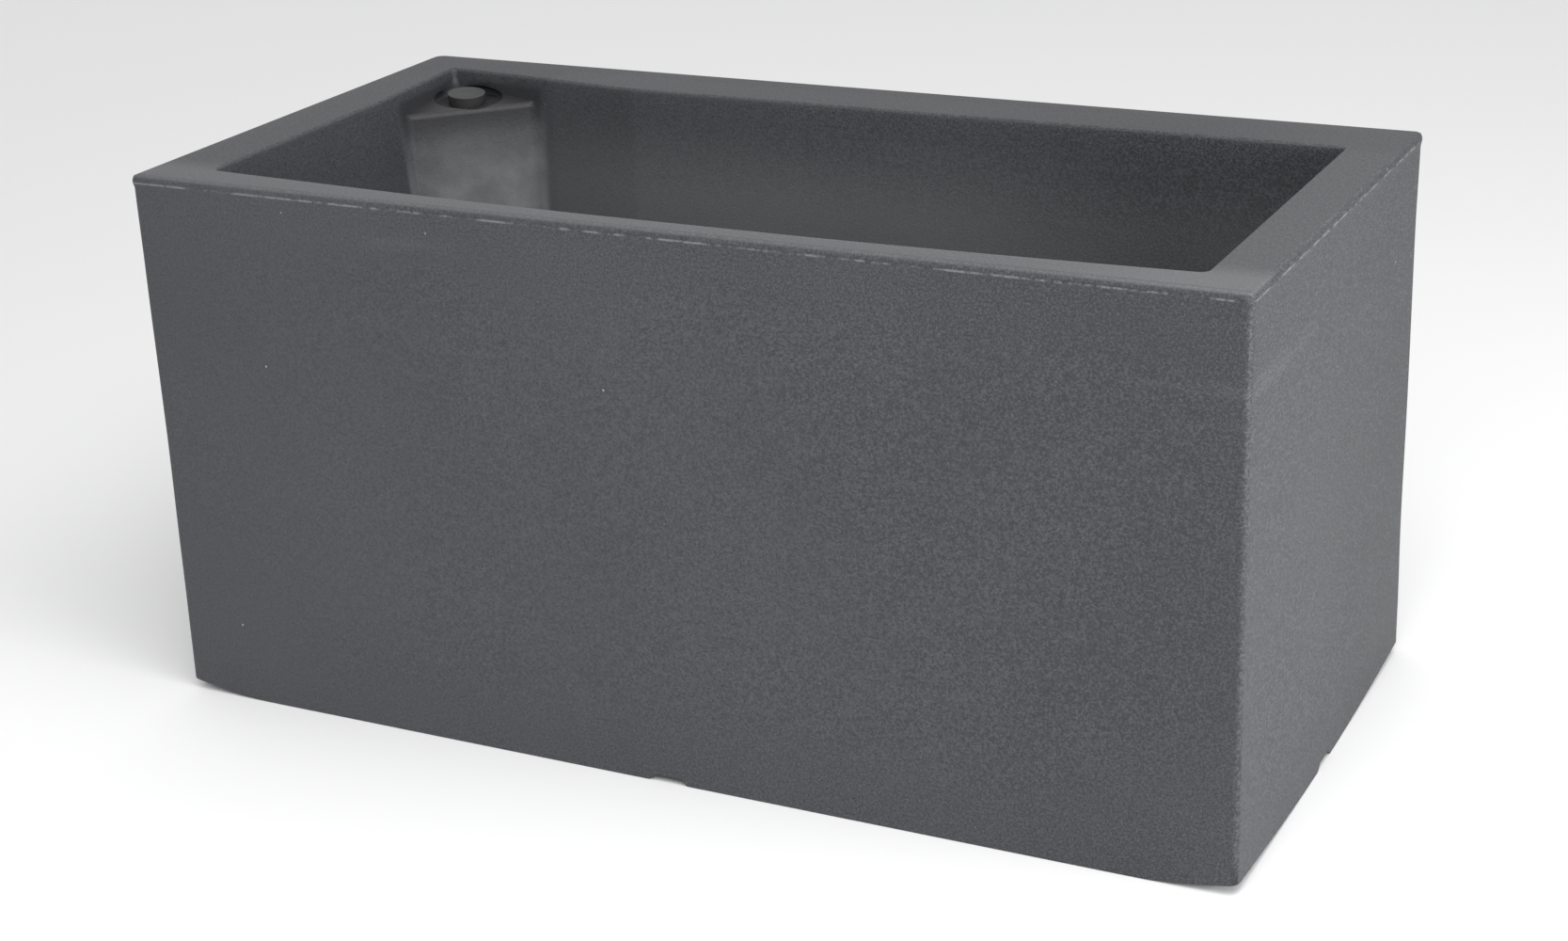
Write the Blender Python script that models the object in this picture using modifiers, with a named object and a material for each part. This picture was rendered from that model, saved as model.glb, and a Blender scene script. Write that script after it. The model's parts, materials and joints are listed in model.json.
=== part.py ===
"""Self watering planter: a one-piece double-walled trough whose hollow walls hold the water.

Metres, +Z up. The origin is under the middle of the trough, on the ground.
+X runs along the length, -Y is the front, and the fill corner is at -X, +Y.
The hollow between the outer wall and the liner is the reservoir. It is filled through a
rubber stopper on a shelf in the back left corner, and it empties into the soil through
four ports in the liner floor, as a porous sensor in the end wall lets air in behind it.
"""

import math

import bmesh
import bpy
from mathutils import Euler, Matrix, Vector

# ---- outer moulding ---------------------------------------------------------
LENGTH = 1.024            # over the rim band
DEPTH = 0.500
HEIGHT = 0.500
BAND_HEIGHT = 0.012       # the band above the mould's parting line
BAND_PROUD = 0.0008       # how far the band stands out from the wall below it
EDGE_ROUND = 0.0045
CORNER_ROUND = 0.006
BACK_LEFT_ROUND = 0.013                      # this corner is blunter than the others
WALL = 0.0045             # thickness of every moulded wall

# ---- liner, the planting cavity ----------------------------------------------
LINER_LEFT = -0.451
LINER_RIGHT = 0.4627
LINER_FRONT = -0.2085     # at its two ends; the middle bows out
LINER_BACK = 0.175
LINER_BOW = 0.0155        # how far the front of the liner bows out in its middle
NOOK_BACK = 0.024         # how far the back wall leans out towards the fill corner
NOOK_BACK_FROM = -0.240
NOOK_BACK_TO = -0.440
NOOK_LEFT = 0.010         # how far the left wall leans out towards the fill corner
NOOK_LEFT_FROM = 0.045
LINER_CORNER = 0.006
DRAFT_LEFT = math.radians(4.0)
DRAFT_RIGHT = math.radians(3.0)
DRAFT_FRONT = math.radians(2.5)
DRAFT_BACK = math.radians(1.5)
FLOOR_TOP = 0.104
MOUTH_ROUND = 0.003
FLOOR_ROUND = 0.005

# ---- fill corner ----------------------------------------------------------------
SHELF_AT = Vector((-0.4265, 0.1702, 0.4785))   # the middle of the dish in the shelf
SHELF_TURN = math.radians(45.0)
SHELF_TIP = math.radians(4.5)                # the shelf drains towards the soil
SHELF_REACH = 0.0355                         # from there to the column's face
SHELF_NOSE = 0.0055                          # rounding of the shelf's front edge
DISH_RADIUS = 0.0345
DISH_DEPTH = 0.0055
DISH_RISE = 0.0080                           # height of the dished hollow over the shelf
STOPPER_SHIFT = Vector((-0.0016, 0.0016, 0.0))  # the fill hole is off the dish's middle
STOPPER_TOP = 0.0055
STOPPER_LENGTH = 0.026
STOPPER_RADIUS_TOP = 0.0190
STOPPER_RADIUS_END = 0.0150

# ---- base ----------------------------------------------------------------------
CHANNEL_WIDTH = 0.038
CHANNEL_CROWN = 0.024
CHANNEL_HEIGHT = 0.0055

# ---- floor drain ----------------------------------------------------------------
SUMP_FLOOR = 0.060
SUMP_RADIUS = 0.052
SUMP_LEDGE = 0.097
SUMP_LEDGE_RADIUS = 0.060
DRAIN_BORE = 0.026
THREAD_GAP = 0.0004
GAP = 0.0003

# ---- reservoir drain, low on the back wall --------------------------------------
TAP_X = 0.400
TAP_Z = 0.046
TAP_POCKET_RADIUS = 0.040
TAP_POCKET_DEPTH = 0.020
TAP_HOLE = 0.017

# ---- moisture sensor, in the right end wall of the liner -------------------------
SENSOR_Z = 0.150
SENSOR_FACE_X = 0.449
SENSOR_BOSS_X = 0.456
SENSOR_FACE_RADIUS = 0.022
SENSOR_HOLE = 0.011

# ---- water ports in the liner floor ----------------------------------------------
PORT_X = 0.330
PORT_FRONT = -0.130
PORT_BACK = 0.100
PORT_HOLE = 0.009

ROUND_STEPS = 32
SMALL_STEPS = 20


def clear_scene():
    """Remove everything the file opened with."""
    for obj in list(bpy.data.objects):
        bpy.data.objects.remove(obj, do_unlink=True)


def new_collection(name):
    """Add a collection to the scene."""
    collection = bpy.data.collections.new(name)
    bpy.context.scene.collection.children.link(collection)
    return collection


def make_material(name, colour, roughness, metallic=0.0):
    """Make a Principled material from a colour, roughness and metallic value."""
    material = bpy.data.materials.new(name)
    material.use_nodes = True
    shader = material.node_tree.nodes["Principled BSDF"]
    shader.inputs["Base Color"].default_value = (*colour, 1.0)
    shader.inputs["Roughness"].default_value = roughness
    shader.inputs["Metallic"].default_value = metallic
    material.diffuse_color = (*colour, 1.0)
    return material


def adopt(obj, collection, material=None):
    """Move an object to a collection and give it its material."""
    for home in list(obj.users_collection):
        home.objects.unlink(obj)
    collection.objects.link(obj)
    if material is not None:
        obj.data.materials.clear()
        obj.data.materials.append(material)
    return obj


def smooth(obj, angle=35.0):
    """Shade a round piece smooth and keep its real edges sharp."""
    for polygon in obj.data.polygons:
        polygon.use_smooth = True
    obj.data.set_sharp_from_angle(angle=math.radians(angle))


def box(name, size, centre=(0, 0, 0)):
    """Make a box from the cube primitive with its size already applied."""
    mesh = bpy.data.meshes.new(name)
    bm = bmesh.new()
    bmesh.ops.create_cube(bm, size=1.0, matrix=Matrix.Diagonal((*size, 1.0)))
    bm.to_mesh(mesh)
    bm.free()
    obj = bpy.data.objects.new(name, mesh)
    obj.location = centre
    return obj


def tapered_bar(name, length, base, crown, height, axis):
    """Make a bar along X or Y whose sides slope in from its base to its crown."""
    size = (length, base, height) if axis == "X" else (base, length, height)
    obj = box(name, size, (0, 0, height / 2))
    for vertex in obj.data.vertices:
        if vertex.co.z > 0:
            side = 1 if axis == "X" else 0
            vertex.co[side] *= crown / base
    return obj


def cylinder(name, radius, start, end, steps=ROUND_STEPS, radius_end=None):
    """Make a closed cylinder or cone along local Z from start to end."""
    mesh = bpy.data.meshes.new(name)
    bm = bmesh.new()
    bmesh.ops.create_cone(
        bm, cap_ends=True, segments=steps, radius1=radius,
        radius2=radius if radius_end is None else radius_end, depth=end - start,
        matrix=Matrix.Translation((0, 0, (start + end) / 2)))
    bm.to_mesh(mesh)
    bm.free()
    return bpy.data.objects.new(name, mesh)


def turned(name, profile, closed, steps=SMALL_STEPS):
    """Turn a profile of (radius, z) points about local Z with a Screw modifier."""
    mesh = bpy.data.meshes.new(name)
    verts = [(radius, 0.0, z) for radius, z in profile]
    edges = [(i, i + 1) for i in range(len(verts) - 1)]
    if closed:
        edges.append((len(verts) - 1, 0))
    mesh.from_pydata(verts, edges, [])
    obj = bpy.data.objects.new(name, mesh)
    screw = obj.modifiers.new("turn", "SCREW")
    screw.angle = 2 * math.pi
    screw.steps = steps
    screw.render_steps = steps
    screw.use_merge_vertices = True
    screw.merge_threshold = 0.00001
    screw.use_smooth_shade = False
    return obj


def add_bevel(obj, width, segments, angle=30.0):
    """Round the edges sharper than an angle."""
    bevel = obj.modifiers.new("round", "BEVEL")
    bevel.width = width
    bevel.segments = segments
    bevel.limit_method = "ANGLE"
    bevel.angle_limit = math.radians(angle)
    return bevel


def boolean(obj, other, operation):
    """Add an exact Boolean modifier."""
    modifier = obj.modifiers.new(operation.lower() + "_" + other.name, "BOOLEAN")
    modifier.operation = operation
    modifier.solver = "EXACT"
    modifier.object = other
    return modifier


class Workshop:
    """The two collections, one for the parts and one for the cutters."""

    def __init__(self):
        self.parts = new_collection("self_watering_planter")
        self.tools = new_collection("cutters")

    def part(self, obj, material):
        """Keep an object as a part."""
        return adopt(obj, self.parts, material)

    def tool(self, obj):
        """Keep an object as a cutter."""
        adopt(obj, self.tools)
        obj.hide_render = True
        obj.display_type = "WIRE"
        return obj


# ---- the trough -----------------------------------------------------------------

def draft_at(z, angle):
    """How far a wall of the liner has come in at a height, below the mouth."""
    return max(0.0, HEIGHT - MOUTH_ROUND - z) * math.tan(angle)


def nook_at(x):
    """How far the back wall leans out at x, towards the fill corner."""
    t = (NOOK_BACK_FROM - x) / (NOOK_BACK_FROM - NOOK_BACK_TO)
    return NOOK_BACK * min(1.0, max(0.0, t))


def liner_outline(z, grow):
    """Plan outline of the liner at a height, grown outwards by a distance."""
    left = LINER_LEFT + draft_at(z, DRAFT_LEFT) - grow
    right = LINER_RIGHT - draft_at(z, DRAFT_RIGHT) + grow
    front = LINER_FRONT + draft_at(z, DRAFT_FRONT) - grow
    back = LINER_BACK - draft_at(z, DRAFT_BACK) + grow
    radius = LINER_CORNER + grow
    points = []

    def corner(cx, cy, start):
        for step in range(4):
            angle = start + math.radians(30) * step
            points.append((cx + radius * math.cos(angle), cy + radius * math.sin(angle)))

    corner(left + radius, front + radius, math.pi)
    for step in range(1, 12):
        t = step / 12
        points.append((left + radius + (right - left - 2 * radius) * t, front))
    corner(right - radius, front + radius, 1.5 * math.pi)
    corner(right - radius, back - radius, 0.0)
    for step in range(5):
        x = NOOK_BACK_FROM + (NOOK_BACK_TO - NOOK_BACK_FROM) * step / 5
        points.append((x, back))
    corner(left + radius, back - radius, 0.5 * math.pi)
    points.append((left, NOOK_LEFT_FROM))

    shaped = []
    for x, y in points:
        if y < front + radius:
            t = (2 * x - left - right) / (right - left)
            y -= LINER_BOW * max(0.0, 1 - t * t) * min(1.0, 1.6 * z / HEIGHT)
        elif y > back - radius - 1e-6:
            y += nook_at(x)
            if x < left + radius + 1e-6:
                x -= NOOK_LEFT
        shaped.append((x, y))
    return shaped


def liner_solid(name, grow, top, floor):
    """Loft the liner's outline from its floor to its mouth as one closed solid."""
    levels = [(floor, grow - FLOOR_ROUND), (floor + 0.0025, grow - 0.3 * FLOOR_ROUND),
              (floor + FLOOR_ROUND, grow), (0.36, grow), (0.46, grow)]
    if top > HEIGHT:
        for step in range(4):
            angle = math.radians(90 - 30 * step)
            levels.append((HEIGHT - MOUTH_ROUND * (1 - math.cos(angle)),
                           grow + MOUTH_ROUND * (1 - math.sin(angle))))
        levels.append((top, grow + MOUTH_ROUND))
    else:
        levels.append((top, grow))
    mesh = bpy.data.meshes.new(name)
    bm = bmesh.new()
    rings = []
    for z, offset in levels:
        rings.append([bm.verts.new((x, y, z)) for x, y in liner_outline(z, offset)])
    count = len(rings[0])
    for low, high in zip(rings, rings[1:]):
        for i in range(count):
            j = (i + 1) % count
            bm.faces.new((low[i], low[j], high[j], high[i]))
    bm.faces.new(list(reversed(rings[0])))
    bm.faces.new(rings[-1])
    bmesh.ops.recalc_face_normals(bm, faces=bm.faces)
    bm.to_mesh(mesh)
    bm.free()
    return bpy.data.objects.new(name, mesh)


def shelf_matrix():
    """Frame of the fill corner: X along the column's face, Y into the corner, Z up."""
    turn = Matrix.Rotation(SHELF_TURN, 4, "Z")
    tip = Matrix.Rotation(SHELF_TIP, 4, "X")
    return Matrix.Translation(SHELF_AT) @ turn @ tip


def stopper_matrix():
    """Frame of the fill hole and its stopper, on the shelf."""
    return shelf_matrix() @ Matrix.Translation(STOPPER_SHIFT)


def column_block(name, shrink):
    """Make the upright block that fills the corner, with the shelf as its sloping top."""
    width, back, drop = 0.34, 0.16, 0.50
    depth = SHELF_REACH - shrink + back
    obj = box(name, (width, depth, drop))
    centre = Vector((0.0, -SHELF_REACH + shrink + depth / 2, -shrink - drop / 2))
    obj.data.transform(Matrix.Translation(centre))
    for vertex in obj.data.vertices:
        if vertex.co.z > -0.5 * drop:
            vertex.co.z += vertex.co.y * math.tan(SHELF_TIP)
    bm = bmesh.new()
    bm.from_mesh(obj.data)
    nose = [edge for edge in bm.edges
            if all(v.co.y < -SHELF_REACH + shrink + 1e-5 and v.co.z > -0.5 * drop
                   for v in edge.verts)]
    bmesh.ops.bevel(bm, geom=nose, offset=SHELF_NOSE, segments=4, profile=0.5,
                    affect="EDGES")
    bm.to_mesh(obj.data)
    bm.free()
    obj.matrix_world = Matrix.Translation(SHELF_AT) @ Matrix.Rotation(SHELF_TURN, 4, "Z")
    return obj


def rounded_block(name, length, depth, low, high):
    """Make a box between two heights with rounded upright edges."""
    obj = box(name, (length, depth, high - low), (0, 0, (low + high) / 2))
    bm = bmesh.new()
    bm.from_mesh(obj.data)
    upright = [edge for edge in bm.edges
               if abs(edge.verts[0].co.z - edge.verts[1].co.z) > 0.5 * (high - low)]
    blunt = [edge for edge in upright
             if edge.verts[0].co.x < 0 and edge.verts[0].co.y > 0]
    crisp = [edge for edge in upright if edge not in blunt]
    bmesh.ops.bevel(bm, geom=crisp, offset=CORNER_ROUND, segments=3, profile=0.5,
                    affect="EDGES")
    blunt = [edge for edge in bm.edges
             if abs(edge.verts[0].co.z - edge.verts[1].co.z) > 0.5 * (high - low)
             and edge.verts[0].co.x < -0.49 * length and edge.verts[0].co.y > 0.49 * depth]
    bmesh.ops.bevel(bm, geom=blunt, offset=BACK_LEFT_ROUND, segments=5, profile=0.5,
                    affect="EDGES")
    bm.to_mesh(obj.data)
    bm.free()
    return obj


def dish_solid(name, grow):
    """Make the lens-shaped hollow round the stopper, which fades out up the walls."""
    radius = DISH_RADIUS + grow
    rings = [(radius - 0.0025, -DISH_DEPTH - grow), (radius - 0.0006, -DISH_DEPTH - grow + 0.0020)]
    for degrees in (0, 18, 34, 50, 66, 80):
        angle = math.radians(degrees)
        rings.append((radius * math.cos(angle), (DISH_RISE + grow) * math.sin(angle)))
    mesh = bpy.data.meshes.new(name)
    bm = bmesh.new()
    loops = []
    for reach, z in rings:
        loops.append([bm.verts.new((reach * math.cos(2 * math.pi * i / ROUND_STEPS),
                                    reach * math.sin(2 * math.pi * i / ROUND_STEPS), z))
                      for i in range(ROUND_STEPS)])
    for low, high in zip(loops, loops[1:]):
        for i in range(ROUND_STEPS):
            j = (i + 1) % ROUND_STEPS
            bm.faces.new((low[i], low[j], high[j], high[i]))
    bm.faces.new(list(reversed(loops[0])))
    bm.faces.new(loops[-1])
    bmesh.ops.recalc_face_normals(bm, faces=bm.faces)
    bm.to_mesh(mesh)
    bm.free()
    return bpy.data.objects.new(name, mesh)


def place(obj, location, axis="Z"):
    """Put a piece made along local Z at a place, turned so that Z runs along an axis."""
    turns = {"Z": (0, 0, 0), "Y": (-math.pi / 2, 0, 0), "X": (0, math.pi / 2, 0),
             "-X": (0, -math.pi / 2, 0)}
    obj.rotation_euler = Euler(turns[axis])
    obj.location = location
    return obj


def build_reservoir(shop):
    """Make the hollow between the outer wall and the liner, as a cutter."""
    hollow = shop.tool(rounded_block("reservoir_space", LENGTH - 2 * BAND_PROUD - 2 * WALL,
                                     DEPTH - 2 * BAND_PROUD - 2 * WALL, WALL, HEIGHT - WALL))
    add_bevel(hollow, 0.003, 1, 60)
    liner = shop.tool(liner_solid("liner_outside", WALL, HEIGHT + 0.02, FLOOR_TOP - WALL))
    boolean(liner, shop.tool(column_block("column_space", WALL)), "DIFFERENCE")
    boolean(hollow, liner, "DIFFERENCE")

    dish = dish_solid("dish_outside", WALL)
    dish.matrix_world = shelf_matrix()
    boolean(hollow, shop.tool(dish), "DIFFERENCE")

    for axis, length in (("X", LENGTH), ("Y", DEPTH)):
        channel = tapered_bar("channel_outside_" + axis, 1.1 * length,
                              CHANNEL_WIDTH + 2 * WALL, CHANNEL_CROWN + 2 * WALL,
                              CHANNEL_HEIGHT + WALL, axis)
        boolean(hollow, shop.tool(channel), "DIFFERENCE")

    for name, radius, low, high in (
            ("sump_outside_wide", SUMP_LEDGE_RADIUS + WALL, SUMP_LEDGE - WALL, FLOOR_TOP),
            ("sump_outside", SUMP_RADIUS + WALL, SUMP_FLOOR - WALL, FLOOR_TOP),
            ("drain_outside", DRAIN_BORE + WALL, 0.0, SUMP_FLOOR)):
        boolean(hollow, shop.tool(cylinder(name, radius, low, high)), "DIFFERENCE")

    pocket = cylinder("tap_pocket_outside", TAP_POCKET_RADIUS + WALL,
                      DEPTH / 2 - TAP_POCKET_DEPTH - WALL, DEPTH / 2)
    boolean(hollow, shop.tool(place(pocket, (TAP_X, 0, TAP_Z), "Y")), "DIFFERENCE")
    boss = cylinder("sensor_boss", SENSOR_FACE_RADIUS + 0.004, 0.430, SENSOR_BOSS_X, 24)
    boolean(hollow, shop.tool(place(boss, (0, 0, SENSOR_Z), "X")), "DIFFERENCE")
    return hollow


def build_body(shop, material):
    """Make the moulded trough: outer wall, rim, liner, fill corner, base and holes."""
    body = rounded_block("planter_body", LENGTH - 2 * BAND_PROUD, DEPTH - 2 * BAND_PROUD,
                         0.0, HEIGHT - BAND_HEIGHT)
    shop.part(body, material)
    band = shop.tool(rounded_block("rim_band", LENGTH, DEPTH, HEIGHT - BAND_HEIGHT - 0.0005,
                                   HEIGHT))
    top = band.modifiers.new("round", "BEVEL")
    top.width = EDGE_ROUND
    top.segments = 2
    top.limit_method = "ANGLE"
    top.angle_limit = math.radians(60)
    boolean(body, band, "UNION")

    liner = shop.tool(liner_solid("liner_inside", 0.0, HEIGHT + 0.02, FLOOR_TOP))
    boolean(liner, shop.tool(column_block("column", 0.0)), "DIFFERENCE")
    boolean(body, liner, "DIFFERENCE")
    boolean(body, build_reservoir(shop), "DIFFERENCE")

    dish = dish_solid("dish", 0.0)
    dish.matrix_world = shelf_matrix()
    boolean(body, shop.tool(dish), "DIFFERENCE")
    hole = stopper_cone("stopper_hole", GAP, 0.004)
    hole.matrix_world = stopper_matrix()
    boolean(body, shop.tool(hole), "DIFFERENCE")

    for axis, length in (("X", LENGTH), ("Y", DEPTH)):
        channel = tapered_bar("channel_" + axis, 1.1 * length, CHANNEL_WIDTH,
                              CHANNEL_CROWN, CHANNEL_HEIGHT, axis)
        boolean(body, shop.tool(channel), "DIFFERENCE")

    for name, radius, low, high in (
            ("sump_wide", SUMP_LEDGE_RADIUS, SUMP_LEDGE, FLOOR_TOP + 0.01),
            ("sump", SUMP_RADIUS, SUMP_FLOOR, SUMP_LEDGE + 0.001),
            ("drain_bore", DRAIN_BORE, -0.01, SUMP_FLOOR + 0.001)):
        boolean(body, shop.tool(cylinder(name, radius, low, high)), "DIFFERENCE")

    pocket = cylinder("tap_pocket", TAP_POCKET_RADIUS, DEPTH / 2 - TAP_POCKET_DEPTH,
                      DEPTH / 2 + 0.01)
    boolean(body, shop.tool(place(pocket, (TAP_X, 0, TAP_Z), "Y")), "DIFFERENCE")
    tap = cylinder("tap_hole", TAP_HOLE, DEPTH / 2 - TAP_POCKET_DEPTH - 2 * WALL,
                   DEPTH / 2, 24)
    boolean(body, shop.tool(place(tap, (TAP_X, 0, TAP_Z), "Y")), "DIFFERENCE")

    face = cylinder("sensor_face", SENSOR_FACE_RADIUS, 0.430, SENSOR_FACE_X, 24)
    boolean(body, shop.tool(place(face, (0, 0, SENSOR_Z), "X")), "DIFFERENCE")
    port = cylinder("sensor_hole", SENSOR_HOLE, 0.440, 0.460, 24)
    boolean(body, shop.tool(place(port, (0, 0, SENSOR_Z), "X")), "DIFFERENCE")

    for number, (x, y) in enumerate(port_places(), 1):
        hole = cylinder("port_hole_%d" % number, PORT_HOLE, FLOOR_TOP - 2 * WALL,
                        FLOOR_TOP + 0.01, 20)
        boolean(body, shop.tool(place(hole, (x, y, 0))), "DIFFERENCE")
    return body


# ---- fill stopper ------------------------------------------------------------------

def stopper_cone(name, gap, past):
    """Make the stopper's taper, wider by a gap and longer by a margin at both ends."""
    slope = (STOPPER_RADIUS_TOP - STOPPER_RADIUS_END) / STOPPER_LENGTH
    low, high = STOPPER_TOP - STOPPER_LENGTH, STOPPER_TOP
    if past:
        low, high = low - past, 0.004 - DISH_DEPTH
    radius_low = STOPPER_RADIUS_END + slope * (low - STOPPER_TOP + STOPPER_LENGTH)
    radius_high = STOPPER_RADIUS_END + slope * (high - STOPPER_TOP + STOPPER_LENGTH)
    return cylinder(name, radius_low + gap, low, high, ROUND_STEPS, radius_high + gap)


def build_stopper(shop, material):
    """Make the tapered rubber stopper that closes the fill hole."""
    stopper = shop.part(stopper_cone("fill_stopper", 0.0, 0.0), material)
    smooth(stopper)
    add_bevel(stopper, 0.0008, 1, 60)
    stopper.matrix_world = stopper_matrix()
    return stopper


# ---- floor drain -------------------------------------------------------------------

def build_drain(shop, materials):
    """Make the drain's sleeve, seal, screw plug and lift-out screen."""
    base = SUMP_FLOOR + GAP
    sleeve = turned("drain_bushing", [
        (0.034, base + 0.004), (0.034, base), (DRAIN_BORE - GAP, base),
        (DRAIN_BORE - GAP, base - 0.026), (0.0185, base - 0.026), (0.0185, base + 0.004),
    ], True, ROUND_STEPS)
    shop.part(sleeve, materials["pipe"])

    ring = 0.0018
    seal_z = base + 0.004 + GAP + ring
    seal = turned("drain_o_ring", [
        (0.0245 + ring * math.cos(a), seal_z + ring * math.sin(a))
        for a in (-math.radians(45) * i for i in range(8))], True, 24)
    smooth(shop.part(seal, materials["rubber"]), 60)

    under = seal_z + ring + GAP
    shank = 0.0185 - THREAD_GAP
    plug = turned("drain_plug", [
        (0.0, under + 0.007), (0.029, under + 0.007), (0.030, under + 0.006),
        (0.030, under), (shank, under), (shank, under - 0.026), (shank - 0.0015, under - 0.028),
        (0.0, under - 0.028)], False, ROUND_STEPS)
    shop.part(plug, materials["pipe"])
    grip = shop.tool(box("drain_grip", (0.046, 0.008, 0.0065), (0, 0, under + 0.0097)))
    boolean(plug, grip, "UNION")

    low = SUMP_LEDGE + GAP
    screen = cylinder("drain_screen", SUMP_LEDGE_RADIUS - 0.0005, low, low + 0.0055)
    shop.part(screen, materials["pipe"])
    for number in range(-4, 5):
        reach = math.sqrt(0.050 ** 2 - (0.0112 * number) ** 2)
        slot = box("screen_slot_%d" % (number + 5), (0.0045, 2 * reach, 0.02),
                   (0.0112 * number, 0, low))
        boolean(screen, shop.tool(slot), "DIFFERENCE")
    knob = shop.tool(cylinder("screen_knob", 0.010, low + 0.0002, low + 0.012, 20))
    boolean(screen, knob, "UNION")
    return sleeve, seal, plug, screen


# ---- reservoir drain ---------------------------------------------------------------

def build_tap(shop, materials):
    """Make the sleeve, gasket and screw plug that empty the reservoir."""
    base = DEPTH / 2 - TAP_POCKET_DEPTH + GAP
    places = (TAP_X, 0, TAP_Z)
    sleeve = turned("reservoir_bushing", [
        (0.023, base + 0.004), (0.023, base), (TAP_HOLE - GAP, base),
        (TAP_HOLE - GAP, base - 0.017), (0.0115, base - 0.017), (0.0115, base + 0.004),
    ], True, 24)
    shop.part(place(sleeve, places, "Y"), materials["brass"])

    low = base + 0.004 + GAP
    gasket = turned("reservoir_gasket", [
        (0.0175, low + 0.002), (0.0175, low), (0.0122, low), (0.0122, low + 0.002)], True, 24)
    shop.part(place(gasket, places, "Y"), materials["rubber"])

    under = low + 0.002 + GAP
    shank = 0.0115 - THREAD_GAP
    plug = turned("reservoir_plug", [
        (0.0, under + 0.003), (0.0178, under + 0.003), (0.0184, under + 0.0022), (0.0184, under),
        (shank, under), (shank, under - 0.019), (shank - 0.0012, under - 0.0205),
        (0.0, under - 0.0205)], False, 24)
    shop.part(place(plug, places, "Y"), materials["pipe"])
    head = cylinder("plug_hexagon", 0.0135, under + 0.002, under + 0.0095, 6)
    boolean(plug, shop.tool(place(head, places, "Y")), "UNION")
    return sleeve, gasket, plug


# ---- moisture sensor ---------------------------------------------------------------

def build_sensor(shop, materials):
    """Make the sensor's grommet, its flanged tube and the porous wick inside."""
    spot = (0, 0, SENSOR_Z)
    neck = SENSOR_HOLE - GAP
    near, far = SENSOR_FACE_X - GAP, SENSOR_BOSS_X + GAP
    grommet = turned("sensor_grommet", [
        (0.0075, far + 0.003), (0.0125, far + 0.003), (0.0140, far), (neck, far), (neck, near),
        (0.0165, near), (0.0160, near - 0.0035), (0.0075, near - 0.0035)], True, 24)
    shop.part(place(grommet, spot, "X"), materials["rubber"])

    face = near - 0.0035 - GAP
    tube = turned("sensor_housing", [
        (0.0053, face + 0.030), (0.0064, face + 0.030), (0.0072, face + 0.026),
        (0.0072, face), (0.0125, face), (0.0120, face - 0.0035), (0.0053, face - 0.0035)],
        True, 24)
    shop.part(place(tube, spot, "X"), materials["pipe"])

    wick = cylinder("sensor_wick", 0.0050, face - 0.010, face + 0.027, SMALL_STEPS)
    shop.part(place(wick, spot, "X"), materials["felt"])
    add_bevel(wick, 0.001, 1, 60)
    smooth(wick)
    return grommet, tube, wick


# ---- water ports -------------------------------------------------------------------

def port_places():
    """The four ports, front left, front right, back right and back left."""
    return [(-PORT_X, PORT_FRONT), (PORT_X, PORT_FRONT), (PORT_X, PORT_BACK),
            (-PORT_X, PORT_BACK)]


def build_port(shop, materials, number, x, y):
    """Make one port's grommet, nozzle and screen."""
    neck = PORT_HOLE - GAP
    top, under = FLOOR_TOP + GAP, FLOOR_TOP - WALL - GAP
    grommet = turned("outlet_grommet_%d" % number, [
        (0.0130, top + 0.0025), (0.0140, top), (neck, top), (neck, under), (0.0112, under),
        (0.0104, under - 0.0025), (0.0060, under - 0.0025), (0.0060, top + 0.0025)], True)
    shop.part(place(grommet, (x, y, 0)), materials["rubber"])

    face = top + 0.0025 + GAP
    nozzle = turned("outlet_nozzle_%d" % number, [
        (0.0112, face + 0.0020), (0.0118, face), (0.0057, face), (0.0057, face - 0.016),
        (0.0049, face - 0.019), (0.0036, face - 0.019), (0.0036, face + 0.0020)], True)
    shop.part(place(nozzle, (x, y, 0)), materials["pipe"])

    rest = face + 0.0020 + GAP
    screen = cylinder("outlet_screen_%d" % number, 0.0106, rest, rest + 0.0012, SMALL_STEPS)
    shop.part(place(screen, (x, y, 0)), materials["mesh"])
    for index in range(-2, 3):
        reach = math.sqrt(0.0084 ** 2 - (0.0034 * index) ** 2)
        slot = box("outlet_slot_%d_%d" % (number, index + 3), (0.0012, 2 * reach, 0.01),
                   (x + 0.0034 * index, y, rest))
        boolean(screen, shop.tool(slot), "DIFFERENCE")
    return grommet, nozzle, screen


def build_materials():
    """The materials that the pieces share."""
    return {
        "body": make_material("slate_polyethylene", (0.075, 0.080, 0.087), 0.55),
        "rubber": make_material("black_rubber", (0.030, 0.029, 0.028), 0.75),
        "pipe": make_material("black_polypropylene", (0.020, 0.020, 0.022), 0.45),
        "brass": make_material("brass_insert", (0.60, 0.43, 0.18), 0.35, 1.0),
        "felt": make_material("porous_felt", (0.62, 0.58, 0.50), 0.9),
        "mesh": make_material("stainless_screen", (0.55, 0.55, 0.54), 0.35, 1.0),
    }


def main():
    """Build the planter."""
    clear_scene()
    shop = Workshop()
    materials = build_materials()
    build_body(shop, materials["body"])
    build_stopper(shop, materials["rubber"])
    build_drain(shop, materials)
    build_tap(shop, materials)
    build_sensor(shop, materials)
    for number, (x, y) in enumerate(port_places(), 1):
        build_port(shop, materials, number, x, y)
    bpy.context.view_layer.update()


main()
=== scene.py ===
"""Visual model of the self watering planter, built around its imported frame."""
import json
import logging
import math
from contextlib import contextmanager
from dataclasses import dataclass
from enum import Enum
from typing import Callable, Iterator, Sequence, Union

import bpy
from mathutils import Matrix, Vector


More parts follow.
